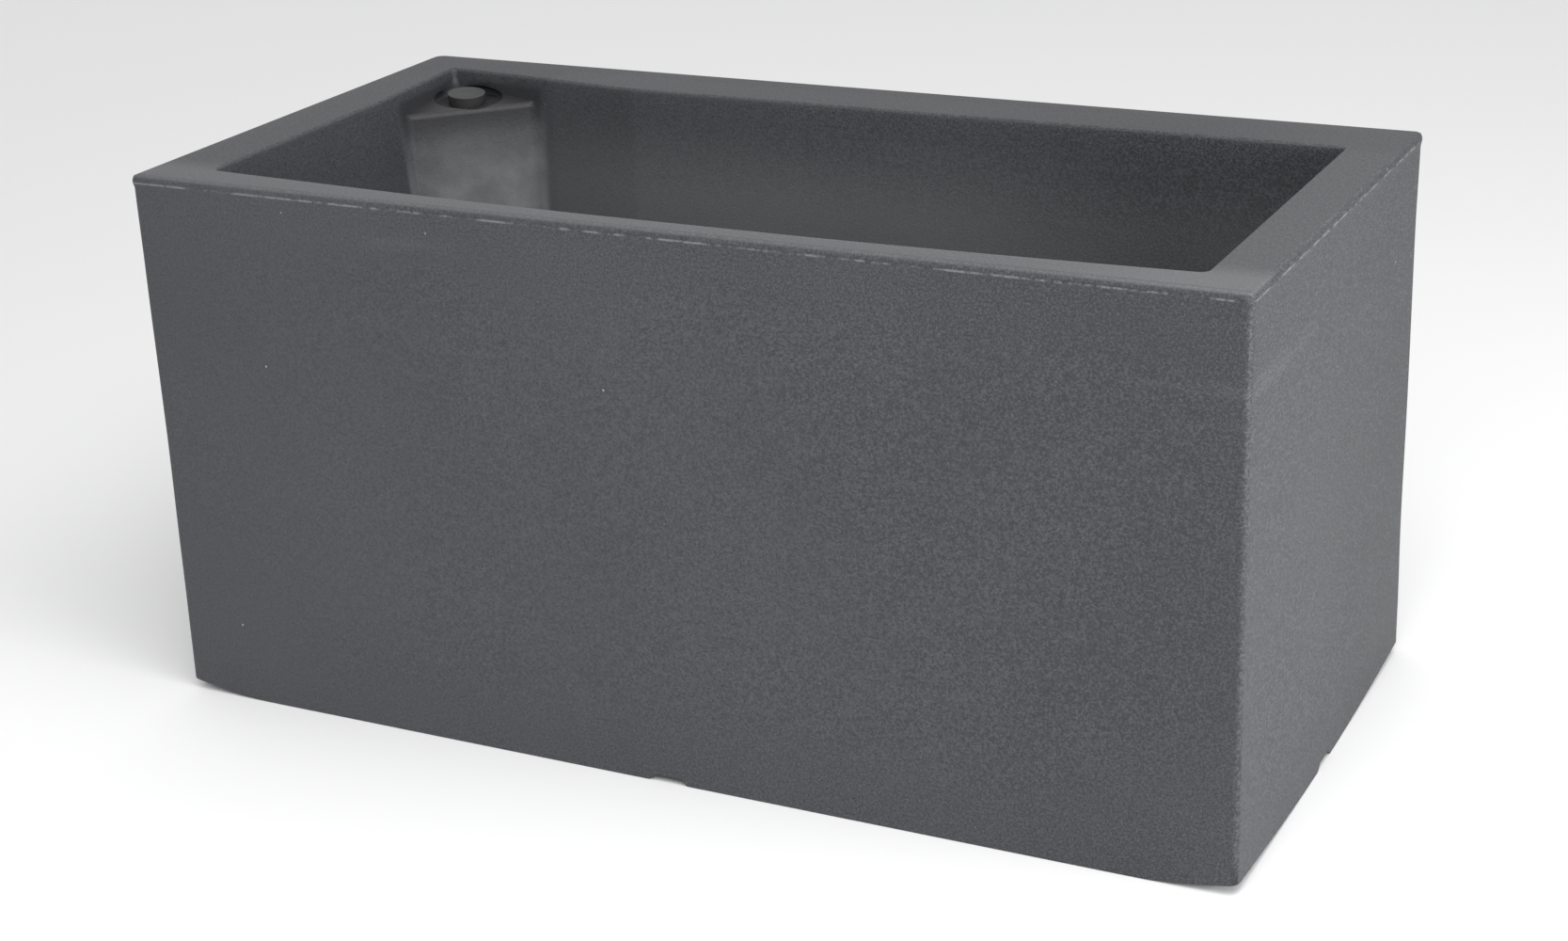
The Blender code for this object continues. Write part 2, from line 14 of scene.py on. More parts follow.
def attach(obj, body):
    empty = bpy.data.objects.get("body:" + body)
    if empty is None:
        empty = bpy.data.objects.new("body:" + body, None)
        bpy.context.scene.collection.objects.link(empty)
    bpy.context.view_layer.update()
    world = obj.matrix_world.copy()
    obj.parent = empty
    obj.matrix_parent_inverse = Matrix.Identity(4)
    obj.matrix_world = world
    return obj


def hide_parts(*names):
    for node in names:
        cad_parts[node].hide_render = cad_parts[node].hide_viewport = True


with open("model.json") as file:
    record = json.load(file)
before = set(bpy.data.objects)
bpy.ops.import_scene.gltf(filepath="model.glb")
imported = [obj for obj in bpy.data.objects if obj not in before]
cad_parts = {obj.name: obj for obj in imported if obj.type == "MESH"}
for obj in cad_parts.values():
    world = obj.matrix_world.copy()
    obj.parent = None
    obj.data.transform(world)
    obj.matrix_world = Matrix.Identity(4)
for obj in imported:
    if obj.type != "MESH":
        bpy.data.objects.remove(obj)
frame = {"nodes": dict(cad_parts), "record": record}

LOG = logging.getLogger("planter")
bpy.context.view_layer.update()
THREAD_STEPS = 28

Number = Union[int, float]
Colour = tuple[float, float, float]
Point = tuple[float, float, float]


class Body(str, Enum):
    """Names of the frame's bodies that carry new pieces."""

    TROUGH = "trough"
    STOPPER = "stopper"
    DRAIN_SCREW = "drain_screw"
    TAP_SCREW = "tap_screw"


class Slot(str, Enum):
    """Names of the record's material slots."""

    SLATE = "slate_polyethylene"
    RUBBER = "black_rubber"
    PIPE = "black_polypropylene"


# ---- shader wiring ---------------------------------------------------------------


class Wire:
    """A value socket that Python's arithmetic turns into Math nodes."""

    def __init__(self, graph: "Graph", socket: bpy.types.NodeSocket) -> None:
        """Hold a socket of a graph.

        Args:
            graph: The graph that new nodes are added to.
            socket: The output socket this wire carries.
        """
        self.graph = graph
        self.socket = socket

    def _math(self, operation: str, *values: "Wire | Number") -> "Wire":
        """Add one Math node and return its value."""
        return self.graph.node("ShaderNodeMath", {"operation": operation},
                               dict(enumerate(values)))

    def __add__(self, other: "Wire | Number") -> "Wire":
        """Return self + other."""
        return self._math("ADD", self, other)

    __radd__ = __add__

    def __sub__(self, other: "Wire | Number") -> "Wire":
        """Return self - other."""
        return self._math("SUBTRACT", self, other)

    def __rsub__(self, other: "Wire | Number") -> "Wire":
        """Return other - self."""
        return self._math("SUBTRACT", other, self)

    def __mul__(self, other: "Wire | Number") -> "Wire":
        """Return self * other."""
        return self._math("MULTIPLY", self, other)

    __rmul__ = __mul__

    def __truediv__(self, other: "Wire | Number") -> "Wire":
        """Return self / other."""
        return self._math("DIVIDE", self, other)

    def __abs__(self) -> "Wire":
        """Return the absolute value."""
        return self._math("ABSOLUTE", self)

    def power(self, exponent: Number) -> "Wire":
        """Return self raised to a power."""
        return self._math("POWER", self, exponent)

    def least(self, other: "Wire | Number") -> "Wire":
        """Return the smaller of self and other."""
        return self._math("MINIMUM", self, other)

    def most(self, other: "Wire | Number") -> "Wire":
        """Return the larger of self and other."""
        return self._math("MAXIMUM", self, other)

    def sine(self) -> "Wire":
        """Return the sine of self, in radians."""
        return self._math("SINE", self)

    def ramp(self, low: float, high: float) -> "Wire":
        """Return self remapped smoothly from low..high to 0..1.

        Args:
            low: The value that gives 0.
            high: The value that gives 1.

        Returns:
            The remapped value, held between 0 and 1.
        """
        return self.graph.node(
            "ShaderNodeMapRange", {"interpolation_type": "SMOOTHSTEP"},
            {"Value": self, "From Min": low, "From Max": high,
             "To Min": 0.0, "To Max": 1.0})


class Graph:
    """A material's node tree with a Principled shader, wired from Python."""

    def __init__(self, name: str) -> None:
        """Make an empty material with its shader and output.

        Args:
            name: The material's name.
        """
        self.material = bpy.data.materials.new(name)
        self.material.use_nodes = True
        self.tree = self.material.node_tree
        self.tree.nodes.clear()
        self.shader = self.tree.nodes.new("ShaderNodeBsdfPrincipled")
        output = self.tree.nodes.new("ShaderNodeOutputMaterial")
        self.tree.links.new(self.shader.outputs["BSDF"], output.inputs["Surface"])
        self.coordinates = self.tree.nodes.new("ShaderNodeTexCoord").outputs["Object"]

    def feed(self, socket: bpy.types.NodeSocket,
             value: "Wire | bpy.types.NodeSocket | Number | Sequence[float]") -> None:
        """Link or set one input socket.

        Args:
            socket: The input to fill.
            value: A wire or socket to link, or a constant.
        """
        if isinstance(value, Wire):
            self.tree.links.new(value.socket, socket)
        elif isinstance(value, bpy.types.NodeSocket):
            self.tree.links.new(value, socket)
        else:
            socket.default_value = value

    def node(self, kind: str, settings: dict, inputs: dict, output: "int | str" = 0) -> Wire:
        """Add any node.

        Args:
            kind: The node's type.
            settings: Its properties.
            inputs: Values or links by socket name or index.
            output: The output socket that is returned.

        Returns:
            The wire from that output.
        """
        made = self.tree.nodes.new(kind)
        for key, value in settings.items():
            setattr(made, key, value)
        for key, value in inputs.items():
            self.feed(made.inputs[key], value)
        return Wire(self, made.outputs[output])

    def moved(self, scale: Point = (1.0, 1.0, 1.0), offset: Point = (0.0, 0.0, 0.0),
              turn: Point = (0.0, 0.0, 0.0)) -> Wire:
        """Return the object coordinates, scaled, shifted and turned."""
        return self.node("ShaderNodeMapping", {}, {"Vector": self.coordinates,
                                                   "Location": offset,
                                                   "Rotation": turn, "Scale": scale})

    def axes(self) -> tuple[Wire, Wire, Wire]:
        """Return the three object coordinates as values."""
        split = self.tree.nodes.new("ShaderNodeSeparateXYZ")
        self.tree.links.new(self.coordinates, split.inputs[0])
        return tuple(Wire(self, split.outputs[i]) for i in range(3))

    def noise(self, scale: float, detail: float = 2.0, rough: float = 0.5,
              where: "Wire | None" = None) -> Wire:
        """Return noise between 0 and 1.

        Args:
            scale: Its frequency, per metre.
            detail: The number of octaves.
            rough: How strong the fine octaves are.
            where: The coordinates, or None for the object's.

        Returns:
            The noise value.
        """
        vector = self.coordinates if where is None else where
        return self.node("ShaderNodeTexNoise", {}, {
            "Vector": vector, "Scale": scale, "Detail": detail, "Roughness": rough})

    def cells(self, scale: float) -> Wire:
        """Return a cell pattern of the given frequency, per metre."""
        return self.node("ShaderNodeTexVoronoi", {}, {
            "Vector": self.coordinates, "Scale": scale}, "Distance")

    def blend(self, factor: "Wire | Number", low: "Wire | Colour",
              high: "Wire | Colour") -> Wire:
        """Mix two colours.

        Args:
            factor: 0 for the first colour, 1 for the second.
            low: The first colour.
            high: The second colour.

        Returns:
            The mixed colour.
        """
        def rgba(value: "Wire | Colour") -> "Wire | tuple":
            """Give a colour its alpha."""
            return value if isinstance(value, Wire) else (*value, 1.0)

        return self.node("ShaderNodeMix", {"data_type": "RGBA"}, {
            0: factor, 6: rgba(low), 7: rgba(high)}, 2)

    def bump(self, height: Wire, depth: float, strength: float = 1.0) -> Wire:
        """Return a normal bumped by a height, depth metres from low to high."""
        return self.node("ShaderNodeBump", {}, {
            "Height": height, "Distance": depth, "Strength": strength})

    def finish(self, **sockets: "Wire | Number | Sequence[float]") -> bpy.types.Material:
        """Fill the shader's sockets.

        Args:
            **sockets: Values by socket name, with _ for a space.

        Returns:
            The material.
        """
        for name, value in sockets.items():
            self.feed(self.shader.inputs[name.replace("_", " ")], value)
        return self.material


# ---- finishes --------------------------------------------------------------------


@dataclass(frozen=True)
class SlatePolyethylene:
    """Rotomoulded polyethylene, slate grey with a sandy speckle and scuffs, with painted light
    and painted shade.
    """

    dark: Colour = (0.0230, 0.0244, 0.0283)
    light: Colour = (0.0745, 0.0770, 0.0840)
    # painted light: the pale tone painted inside the liner and on the rim's top
    painted_light: Colour = (0.200, 0.203, 0.210)
    # painted shade: the dark tone painted on the shelf and along the rim's front groove
    painted_shade: Colour = (0.022, 0.022, 0.024)
    flash_pale: Colour = (0.30, 0.305, 0.315)
    # painted shadow: the tone of the dark line just above the flash
    flash_shade: Colour = (0.020, 0.020, 0.022)
    lint: Colour = (0.42, 0.42, 0.41)
    grain_per_metre: float = 400.0
    parting_z: float = 0.4932
    rim_z: float = 0.5
    half_length: float = 0.512
    half_depth: float = 0.250
    rim_inner: Point = (0.455, 0.205, 0.0)
    column_x: float = -0.345
    column_left: float = -0.4590
    left_wall: float = -0.456

    def speckle(self, g: Graph, x: Wire, z: Wire) -> tuple[Wire, Wire]:
        """Return the sandy grain as a tone about 0, and as a relief between 0 and 1.

        Args:
            g: The graph to add to.
            x: The place along the length.
            z: The height.

        Returns:
            The tone and the relief.
        """
        drawn = g.moved((1.0, 0.62, 1.0), (0.3, 0.1, 0.2))
        grain = g.noise(1.15 * self.grain_per_metre, 2.0, 0.60, drawn)
        fine = g.noise(2.5 * self.grain_per_metre, 1.0, 0.5, drawn)
        patchy = g.noise(7.0, 2.0, 0.5)
        amount = (0.56 + 0.50 * x.ramp(-0.45, 0.30) + (patchy - 0.5) * 0.5
                  + 0.9 * x.ramp(self.half_length - 0.006, self.half_length - 0.003)
                  + 0.9 * z.ramp(self.rim_z - 0.0012, self.rim_z - 0.0006))
        sand = g.noise(0.6 * self.grain_per_metre, 2.0, 0.65, drawn)
        tone = (grain - 0.5) * 3.8 + (fine - 0.5) * 3.0
        coarse = (sand - 0.5) * 2.2 * (amount - 0.9).most(0.0).least(0.9)
        return tone * amount + coarse, grain * 0.6 + fine * 0.4

    def scuffs(self, g: Graph, z: Wire) -> Wire:
        """Return the faint level rubs below the rim and the wiped patches, 0 to 1.

        Args:
            g: The graph to add to.
            z: The height.

        Returns:
            The strength of the rubs.
        """
        rubs = g.noise(8.0, 5.0, 0.62, g.moved((0.50, 0.50, 3.4), (0.4, 2.2, 0.0)))
        high = z.ramp(0.36, 0.44) * (1.0 - z.ramp(0.460, 0.480))
        wiped = g.noise(13.0, 4.0, 0.6, g.moved((1.0, 1.0, 0.35), (5.0, 1.0, 2.0)))
        nicks = g.noise(150.0, 2.0, 0.5, g.moved((0.16, 0.16, 1.0), (2.0, 7.0, 4.0)))
        sparse = g.noise(4.0, 1.0, 0.5, g.moved((1.0, 1.0, 1.0), (8.0, 3.0, 6.0)))
        return (rubs.ramp(0.55, 0.75) * high * 0.30 + wiped.ramp(0.60, 0.80) * 0.12
                + nicks.ramp(0.74, 0.80) * sparse.ramp(0.52, 0.62) * 0.35)

    def inner_painted_light(self, g: Graph, x: Wire, y: Wire, z: Wire) -> Wire:
        """Return the painted light inside the liner, brightest on the fill column, 0 to 1.

        Args:
            g: The graph to add to.
            x: The place along the length.
            y: The place along the depth.
            z: The height.

        Returns:
            The strength of the painted light.
        """
        # painted light: paler lower down in the liner, standing in for bounced light, with the
        # left wall kept darker
        within = ((1.0 - abs(x).ramp(self.rim_inner[0] + 0.008, self.rim_inner[0] + 0.016))
                  * (1.0 - abs(y).ramp(self.rim_inner[1] + 0.018, self.rim_inner[1] + 0.024)))
        deep = 1.0 - z.ramp(0.385, 0.485)
        near_column = 1.0 - x.ramp(self.column_x - 0.012, self.column_x + 0.004)
        facing = (y - x).ramp(0.5300, 0.5385)
        clouds = g.noise(26.0, 4.0, 0.6)
        # painted light: the fill column's face, which faces the light, made paler
        column = near_column * facing * (0.60 + clouds.ramp(0.30, 0.70) * 0.9)
        side = x.ramp(self.left_wall + 0.002, self.left_wall + 0.030)
        back = y.ramp(0.05, 0.15) * (1.0 - x.ramp(0.05, 0.35)) * 0.19
        # painted highlight: a thin pale line along the column's left edge
        pale_mark = (abs(x - (self.rim_z - z) * 0.0699 - self.column_left).ramp(0.0018, 0.0008)
                * facing * (1.0 - z.ramp(0.425, 0.465)) * 0.35)
        # painted light on the upper back wall
        high = (y.ramp(0.14, 0.17) * (1.0 - x.ramp(0.05, 0.35)) * 0.06
                * x.ramp(self.column_x, self.column_x + 0.010))
        return (within * deep * (0.04 + side * (0.12 + back) + clouds * 0.06 + column * 0.43)
                * z.ramp(0.10, 0.16) + within * (pale_mark + high))

    def shelf_painted_shade(self, g: Graph, x: Wire, y: Wire, z: Wire) -> Wire:
        """Return the painted shade on the stopper's shelf and the top of the fill column, 0 to
        1.

        Args:
            g: The graph to add to.
            x: The place along the length.
            y: The place along the depth.
            z: The height.

        Returns:
            The strength of the painted shade.
        """
        level = z.ramp(0.4420, 0.4745) * (1.0 - z.ramp(0.4860, 0.4930))
        corner = (y - x).ramp(0.535, 0.546)
        return level * corner * (0.62 + g.noise(60.0, 3.0, 0.6) * 0.35)

    def flash(self, g: Graph, z: Wire) -> tuple[Wire, Wire]:
        """Return the pale broken flash line along the parting line and a broken dark line of
        painted shadow just above it, 0 to 1.

        Args:
            g: The graph to add to.
            z: The height.

        Returns:
            The strengths of the pale line and of the painted shadow line.
        """
        gaps = g.noise(70.0, 4.0, 0.7)
        long_gaps = g.noise(9.0, 1.0, 0.5)
        line = abs(z - self.parting_z)
        pale = (1.0 - line.ramp(0.0003, 0.0014)) * gaps.ramp(0.42, 0.58)
        # painted shadow: a broken dark line just above the parting line
        shade = (1.0 - abs(z - (self.parting_z + 0.0014)).ramp(0.0004, 0.0014))
        return pale * 0.42, shade * gaps.ramp(0.66, 0.40) * long_gaps.ramp(0.40, 0.55) * 0.35

    def make(self) -> bpy.types.Material:
        """Wire the finish.

        Returns:
            The finished material.
        """
        g = Graph("slate_polyethylene")
        x, y, z = g.axes()
        tone, relief = self.speckle(g, x, z)
        clouds = g.noise(5.0, 3.0, 0.55)
        drift = g.noise(1.7, 1.0, 0.5, g.moved((1.0, 1.0, 0.6), (3.1, 0.7, 1.9)))
        rubbed = self.scuffs(g, z)
        end_wall_shade = x.ramp(self.half_length - 0.006, self.half_length - 0.003)
        # painted shade: the right end wall darker towards its back and its top; the tone is
        # also darker towards the +x end
        tone = (0.45 + tone * 0.62 + (clouds - 0.5) * 0.34 + (drift - 0.5) * 0.22
                - x.ramp(0.05, 0.45) * 0.13 - end_wall_shade * (y.ramp(-0.05, 0.20) * 0.16
                                                          + z.ramp(0.36, 0.47) * 0.08)
                + rubbed).most(0.0).least(1.4)
        colour = g.blend(tone, self.dark, self.light)
        # painted light inside the liner
        colour = g.blend(self.inner_painted_light(g, x, y, z), colour, self.painted_light)
        # painted shade on the shelf around the stopper and on the top of the fill column
        colour = g.blend(self.shelf_painted_shade(g, x, y, z), colour, self.painted_shade)

        outside = abs(x).ramp(self.half_length - 0.004, self.half_length - 0.003).most(
            abs(y).ramp(self.half_depth - 0.004, self.half_depth - 0.003))
        pale, shade = (mark * outside for mark in self.flash(g, z))
        colour = g.blend(pale, colour, self.flash_pale)
        # painted shadow line just above the flash
        colour = g.blend(shade, colour, self.flash_shade)
        # painted highlight on the rim's top: paler along the front strip and towards the right
        # end
        top = z.ramp(self.rim_z - 0.0030, self.rim_z - 0.0004)
        front = 1.0 - y.ramp(-self.half_depth + 0.030, -self.half_depth + 0.070)
        rim_right_light = x.ramp(0.30, 0.47) * 0.13
        colour = g.blend(top * (front * 0.30 + rim_right_light), colour, self.painted_light)
        # painted shade on the rim's top along its back strip
        colour = g.blend(top * y.ramp(0.15, 0.18) * 0.20, colour, self.dark)
        # painted shade: a broken dark line along the front rim's outer edge, for the shade in
        # the groove there
        groove = abs(y + (self.half_depth - 0.0052))
        colour = g.blend((1.0 - groove.ramp(0.0003, 0.0010)) * top
                         * g.noise(12.0, 2.0, 0.5).ramp(0.30, 0.50) * 0.45,
                         colour, self.painted_shade)

        motes = 1.0 - g.cells(24.0).ramp(0.020, 0.028)
        lint = g.noise(3.0, 1.0, 0.5, g.moved((1.0, 1.0, 1.0), (9.0, 4.0, 0.3)))
        colour = g.blend(motes * lint.ramp(0.52, 0.58) * 0.6, colour, self.lint)

        rough = 0.54 + (relief - 0.5) * 0.22 + (clouds - 0.5) * 0.10 - rubbed * 0.18
        return g.finish(Base_Color=colour, Roughness=rough, IOR=1.50,
                        Normal=g.bump(relief, 0.0006, 0.60))


@dataclass(frozen=True)
class DullRubber:
    """Moulded black rubber with a dusty bloom, thicker above a level along an axis."""

    name: str = "dull_black_rubber"
    deep: Colour = (0.020, 0.0195, 0.019)
    bloom: Colour = (0.036, 0.036, 0.037)
    dust: Colour = (0.060, 0.061, 0.061)
    axis: Point = (0.0, 0.0, 1.0)
    dusty_from: float = 9.0

    def make(self) -> bpy.types.Material:
        """Wire the finish.

        Returns:
            The finished material.
        """
        g = Graph(self.name)
        haze = g.noise(120.0, 4.0, 0.6)
        fine = g.noise(1500.0, 2.0, 0.6)
        tone = (haze * 0.6 + fine * 0.5 - 0.1).most(0.0).least(1.0)
        up = g.node("ShaderNodeVectorMath", {"operation": "DOT_PRODUCT"},
                    {0: g.coordinates, 1: self.axis}, "Value")
        top = up.ramp(self.dusty_from - 0.0004, self.dusty_from) * (0.7 + haze * 0.5)
        colour = g.blend(top.least(1.0), g.blend(tone, self.deep, self.bloom), self.dust)
        return g.finish(Base_Color=colour, Roughness=0.62 + haze * 0.2, IOR=1.5,
                        Normal=g.bump(fine, 0.00012, 0.5))


@dataclass(frozen=True)
class BlackPolypropylene:
    """Injection moulded polypropylene, satin with faint flow marks."""

    base: Colour = (0.016, 0.016, 0.018)
    pale_mark: Colour = (0.045, 0.045, 0.048)

    def make(self) -> bpy.types.Material:
        """Wire the finish.

        Returns:
            The finished material.
        """
        g = Graph("black_polypropylene")
        flow = g.noise(70.0, 3.0, 0.6, g.moved((1.0, 1.0, 3.0)))
        texture = g.noise(2600.0, 1.0, 0.5)
        return g.finish(
            Base_Color=g.blend(flow.ramp(0.35, 0.75) * 0.6, self.base, self.pale_mark),
            Roughness=0.36 + flow * 0.18, IOR=1.49, Normal=g.bump(texture, 0.00008, 0.5))


@dataclass(frozen=True)
class TurnedBrass:
    """Brass with lathe rings about its own Y axis and a little tarnish."""

    bright: Colour = (0.62, 0.44, 0.19)
    dull: Colour = (0.36, 0.24, 0.10)
    centre: Point = (0.4, 0.0, 0.046)

    def make(self) -> bpy.types.Material:
        """Wire the finish.

        Returns:
            The finished material.
        """
        g = Graph("turned_brass")
        x, _, z = g.axes()
        from_x, from_z = x - self.centre[0], z - self.centre[2]
        radius = (from_x * from_x + from_z * from_z).power(0.5)
        rings = (radius * 9000.0).sine()
        stain = g.noise(160.0, 4.0, 0.6).ramp(0.42, 0.75)
        return g.finish(Base_Color=g.blend(stain * 0.7, self.bright, self.dull),
                        Metallic=1.0, Roughness=0.26 + stain * 0.22,
                        Normal=g.bump(rings, 0.00003, 0.4))


@dataclass(frozen=True)
class WickingFelt:
    """Dense off-white felt that carries damp from the soil."""

    pale: Colour = (0.66, 0.62, 0.54)
    damp: Colour = (0.36, 0.32, 0.26)

    def make(self) -> bpy.types.Material:
        """Wire the finish.

        Returns:
            The finished material.
        """
        g = Graph("wicking_felt")
        fibres = g.noise(2200.0, 4.0, 0.7, g.moved((0.4, 1.0, 1.0)))
        blots = g.noise(190.0, 3.0, 0.6)
        return g.finish(
            Base_Color=g.blend(blots.ramp(0.35, 0.75) * 0.8, self.pale, self.damp),
            Roughness=0.95, Sheen_Weight=0.25, Normal=g.bump(fibres, 0.0004, 0.8))


@dataclass(frozen=True)
class StainlessSheet:
    """Thin rolled stainless sheet."""

    steel: Colour = (0.56, 0.56, 0.55)
    grey: Colour = (0.38, 0.38, 0.375)

    def make(self) -> bpy.types.Material:
        """Wire the finish.

        Returns:
            The finished material.
        """
        g = Graph("stainless_sheet")
        rolled = g.noise(400.0, 3.0, 0.6, g.moved((0.08, 1.0, 1.0)))
        return g.finish(Base_Color=g.blend(rolled, self.steel, self.grey), Metallic=1.0,
                        Roughness=0.24 + rolled * 0.2, Normal=g.bump(rolled, 0.00004, 0.4))


@dataclass(frozen=True)
class StudioPaper:
    """The pale paper that the planter stands on."""

    tone: Colour = (0.93, 0.93, 0.935)
    mottled: Colour = (0.88, 0.88, 0.885)

    def make(self) -> bpy.types.Material:
        """Wire the finish.

        Returns:
            The finished material.
        """
        g = Graph("studio_paper")
        mottle = g.noise(2.0, 2.0, 0.5)
        shade = g.blend(mottle * 0.08, self.tone, self.mottled)
        return g.finish(Base_Color=shade, Roughness=0.9)


# ---- modelling helpers -------------------------------------------------------------


def focus(piece: bpy.types.Object) -> None:
    """Select one object alone and make it active."""
    bpy.ops.object.select_all(action="DESELECT")
    piece.select_set(True)
    bpy.context.view_layer.objects.active = piece


@contextmanager
def edit_mode(piece: bpy.types.Object) -> Iterator[None]:
    """Keep a piece in edit mode for a block of work.

    Args:
        piece: The object to edit.
    """
    focus(piece)
    bpy.ops.object.mode_set(mode="EDIT")
    try:
        yield
    finally:
        bpy.ops.object.mode_set(mode="OBJECT")


def apply_modifier(piece: bpy.types.Object, kind: str, **settings: object) -> None:
    """Add a modifier, set it and apply it.

    Args:
        piece: The object to change.
        kind: The modifier's type.
        **settings: Its properties.
    """
    focus(piece)
    modifier = piece.modifiers.new(kind.lower(), kind)
    for key, value in settings.items():
        setattr(modifier, key, value)
    bpy.ops.object.modifier_apply(modifier=modifier.name)


def shade(piece: bpy.types.Object, degrees: float = 35.0) -> None:
    """Shade smooth up to an angle."""
    focus(piece)
    bpy.ops.object.shade_smooth_by_angle(angle=math.radians(degrees))


def settle(piece: bpy.types.Object) -> None:
    """Put a piece's place, turn and scale into its mesh."""
    focus(piece)
    bpy.ops.object.transform_apply(location=True, rotation=True, scale=True)


def dress(piece: bpy.types.Object, material: bpy.types.Material) -> None:
    """Give a new piece its only material."""
    piece.data.materials.clear()
    piece.data.materials.append(material)


def dress_node(node: str, material: bpy.types.Material) -> None:
    """Give a CAD node that stays visible its material.

    Args:
        node: The node's name.
        material: The finish.
    """
    piece = frame["nodes"][node]
    if not piece.material_slots:
        piece.data.materials.append(material)
    for holder in piece.material_slots:
        holder.material = material


def pick(piece: bpy.types.Object, kind: str, test: Callable[[Vector, Vector], bool]) -> int:
    """Select faces or edges of a piece by place, in edit mode.

    Args:
        piece: The object being edited.
        kind: "FACE" or "EDGE".
        test: Takes a place and a normal, and says whether it is chosen.

    Returns:
        How many were chosen.
    """
    bpy.ops.mesh.select_mode(type=kind)
    bpy.ops.mesh.select_all(action="DESELECT")
    bpy.ops.object.mode_set(mode="OBJECT")
    mesh = piece.data
    count = 0
    if kind == "FACE":
        for polygon in mesh.polygons:
            polygon.select = test(polygon.center, polygon.normal)
            count += polygon.select
    else:
        for edge in mesh.edges:
            a, b = (mesh.vertices[i].co for i in edge.vertices)
            edge.select = test((a + b) / 2, (b - a).normalized())
            count += edge.select
    bpy.ops.object.mode_set(mode="EDIT")
    return count


def lathe(name: str, rings: Sequence[tuple[float, float]],
          steps: int) -> bpy.types.Object:
    """Raise a round piece about Z from a circle, ring by ring.

    Args:
        name: The piece's name.
        rings: (radius, height) of each ring, in metres.
        steps: The number of sides.

    Returns:
        The piece, with its two caps filled.
    """
    radius, height = rings[0]
    bpy.ops.object.select_all(action="DESELECT")
    bpy.ops.mesh.primitive_circle_add(vertices=steps, radius=radius, location=(0, 0, height))
    piece = bpy.context.active_object
    piece.name = piece.data.name = name
    settle(piece)
    with edit_mode(piece):
        bpy.ops.mesh.select_mode(type="EDGE")
        bpy.ops.mesh.select_all(action="SELECT")
        for next_radius, next_height in rings[1:]:
            bpy.ops.mesh.extrude_edges_move(
                TRANSFORM_OT_translate={"value": (0, 0, next_height - height)})
            size = next_radius / radius
            bpy.ops.transform.resize(value=(size, size, 1.0),
                                     center_override=(0, 0, next_height))
            radius, height = next_radius, next_height
        for _, z in (rings[0], rings[-1]):
            pick(piece, "EDGE", lambda place, way, z=z: abs(place.z - z) < 1e-6
                 and abs(way.z) < 1e-3 and Vector(place.xy).length > 1e-6
                 and is_open(piece, place))
            bpy.ops.mesh.edge_face_add()
        bpy.ops.mesh.select_all(action="SELECT")
        bpy.ops.mesh.normals_make_consistent(inside=False)
    return piece


def is_open(piece: bpy.types.Object, place: Vector) -> bool:
    """Say whether a ring at this place is the first or the last, by its height."""
    heights = (piece.data.vertices[0].co.z, piece.data.vertices[-1].co.z)
    return any(abs(place.z - z) < 1e-6 for z in heights)


def soften(piece: bpy.types.Object, width: float, segments: int = 2,
           degrees: float = 40.0) -> None:
    """Round a piece's sharp edges and shade it smooth by angle.

    Args:
        piece: The piece to finish.
        width: The rounding's width, in metres.
        segments: Its number of faces across.
        degrees: The angle above which an edge is sharp.
    """
    apply_modifier(piece, "BEVEL", width=width, segments=segments, limit_method="ANGLE",
                   angle_limit=math.radians(degrees))
    shade(piece, 40.0)


def stand(piece: bpy.types.Object, body: Body, slot: Slot, *nodes: str) -> None:
    """Attach a finished piece to its body and hide the CAD nodes that it stands for.

    Args:
        piece: The finished piece.
        body: The body that it rides on.
        slot: Not used.
        *nodes: The CAD nodes that it replaces.
    """
    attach(piece, body.value)
    if nodes:
        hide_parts(*nodes)
    LOG.info("%s rides on %s, %d faces", piece.name, body.value, len(piece.data.polygons))


def helix_ridge(name: str, core: float, crest: float, pitch: float, turns: float,
                top: float) -> bpy.types.Object:
    """Make a thread's ridge as a screwed triangle about Z.

    Args:
        name: The piece's name.
        core: The radius at its root.
        crest: The radius at its crest.
        pitch: The rise of one turn.
        turns: The number of turns.
        top: The height at which the thread ends.

    Returns:
        The ridge, closed at both ends.
    """
    bpy.ops.object.select_all(action="DESELECT")
    half = 0.42 * pitch
    bpy.ops.mesh.primitive_circle_add(vertices=3, radius=1.0, fill_type="NGON")
    piece = bpy.context.active_object
    piece.name = piece.data.name = name
    low = top - pitch * turns - half
    corners = (Vector((core - 0.0004, 0, low - half)), Vector((crest, 0, low)),
               Vector((core - 0.0004, 0, low + half)))
    for vertex, place in zip(piece.data.vertices, corners):
        vertex.co = place
    with edit_mode(piece):
        bpy.ops.mesh.select_all(action="SELECT")
        for _ in range(int(THREAD_STEPS * turns)):
            bpy.ops.mesh.extrude_region_move(
                TRANSFORM_OT_translate={"value": (0, 0, pitch / THREAD_STEPS)})
            bpy.ops.transform.rotate(value=-2 * math.pi / THREAD_STEPS, orient_axis="Z",
                                     center_override=(0, 0, 0))
        bpy.ops.mesh.select_all(action="SELECT")
        bpy.ops.mesh.remove_doubles(threshold=1e-6)
        bpy.ops.mesh.normals_make_consistent(inside=False)
    return piece


# ---- the trough --------------------------------------------------------------------


